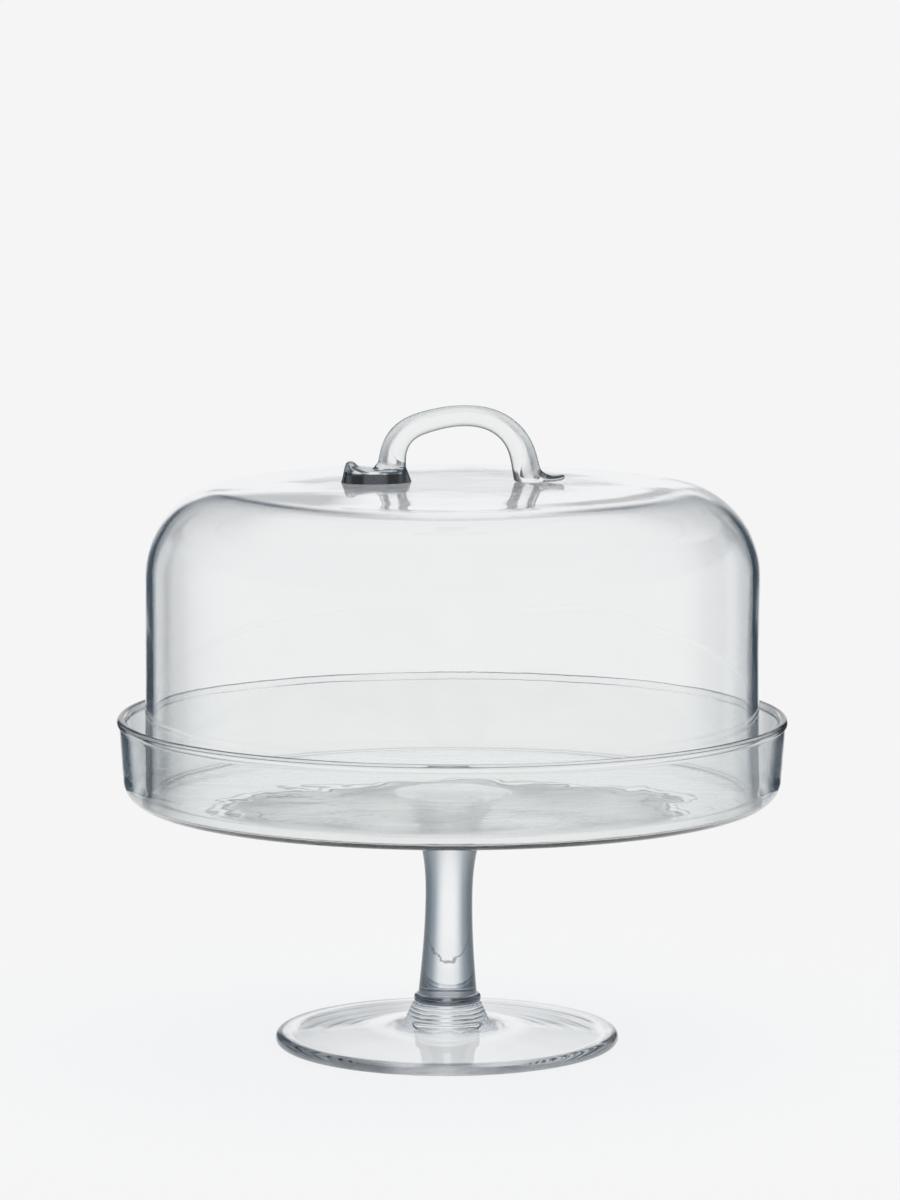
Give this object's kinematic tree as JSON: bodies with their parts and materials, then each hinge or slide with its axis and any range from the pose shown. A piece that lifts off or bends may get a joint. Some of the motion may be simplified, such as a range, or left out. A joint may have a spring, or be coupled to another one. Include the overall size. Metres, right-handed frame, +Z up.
{
  "type": "cake stand with dome",
  "caption": "Footed round glass cake tray with a raised wall on a solid stem, under a lift-off glass dome with a pulled arch handle.",
  "frame": {"origin": "centre of the foot's ground ring, on the table", "axes": "+Z up the stem's axis, about which everything but the handle is turned; +X along the handle's arch, from its pressed pad towards its sheared tail"},
  "size_m": [0.305, 0.305, 0.2924],
  "materials": {
    "blown_glass": "clear, fire-polished, faintly rippled",
    "solid_glass": "clear, thick, fire-polished, faint grey-blue tint"
  },
  "bodies": {
    "stand": {"foot": "solid_glass", "stem": "solid_glass", "tray": "blown_glass"},
    "dome": {"dome_shell": "blown_glass", "handle": "solid_glass"}
  },
  "joints": [
    {"name": "dome_lift", "type": "slide", "parent": "stand", "child": "dome", "axis": [0, 0, 1], "range_m": [0, 0.18]}
  ]
}
